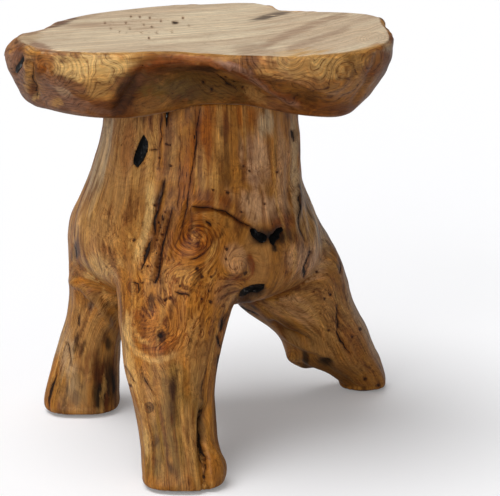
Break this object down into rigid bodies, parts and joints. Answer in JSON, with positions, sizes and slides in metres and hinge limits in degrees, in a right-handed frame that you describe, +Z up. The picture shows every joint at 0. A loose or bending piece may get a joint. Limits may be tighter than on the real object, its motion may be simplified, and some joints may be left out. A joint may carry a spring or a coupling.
{
  "type": "stump stool",
  "caption": "Rustic stump stool: a thick live-edge slab seat pegged onto a root stump that splays into root legs, with black resin in its knots.",
  "frame": {"origin": "on the floor, under the middle of the stool's bounding box", "axes": "+Z up, -Y towards the front leg, +X towards the splayed right leg"},
  "size_m": [0.3872, 0.3885, 0.42],
  "materials": {
    "seat_wood": "satin lacquer",
    "stump_wood": "satin lacquer",
    "peg_wood": "plain",
    "black_resin": "gloss",
    "felt": "matte"
  },
  "bodies": {
    "root": {"seat_slab": "seat_wood", "root_stump": "stump_wood", "kidney_knot_fill": "black_resin", "shake_fill": "black_resin", "left_knot_fill": "black_resin", "right_knot_fill": "black_resin", "crotch_fill": "black_resin", "slit_fill": "black_resin", "centre_peg": "peg_wood", "seat_dowel_left": "peg_wood", "seat_dowel_right": "peg_wood", "seat_dowel_back": "peg_wood", "foot_pad_left": "felt", "foot_pad_front": "felt", "foot_pad_right": "felt"}
  },
  "joints": []
}
